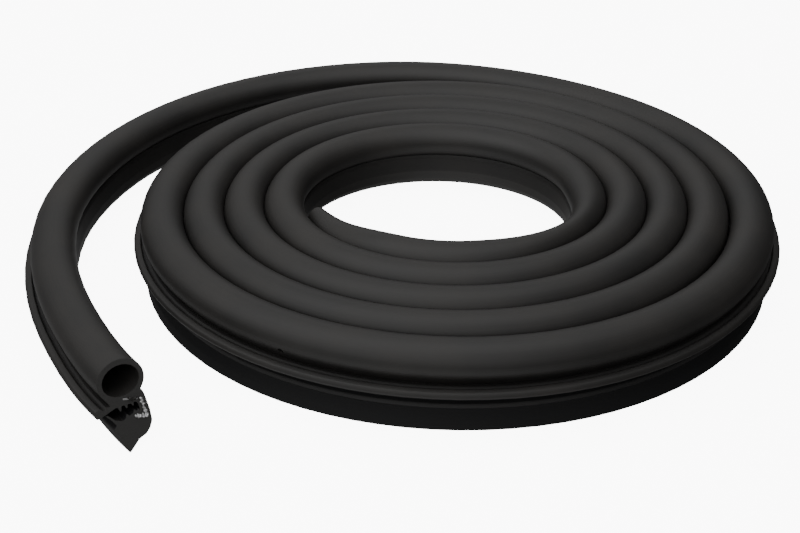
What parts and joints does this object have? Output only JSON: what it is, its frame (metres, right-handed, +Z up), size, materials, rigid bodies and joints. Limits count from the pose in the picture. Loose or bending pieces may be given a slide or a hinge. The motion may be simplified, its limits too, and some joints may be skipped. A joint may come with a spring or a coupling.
{
  "type": "coiled car door seal",
  "caption": "Coiled length of black rubber door seal: hollow sealing bulb on a steel-cored grip channel with a ledge lip and a skirt, its free tail swung out to one side.",
  "frame": {"origin": "middle of the coil's bounding box, on the floor it lies on", "axes": "+Z up, through the coil; the free tail lies on the -X side and its cut end points towards -Y and +X"},
  "size_m": [0.3096, 0.2852, 0.0313],
  "materials": {
    "black_rubber": "satin extruded EPDM rubber",
    "bright_steel": "bare rolled strip, seen at the cut ends only"
  },
  "bodies": {
    "root": {"rubber_profile": "black_rubber", "steel_carrier": "bright_steel"}
  },
  "joints": []
}
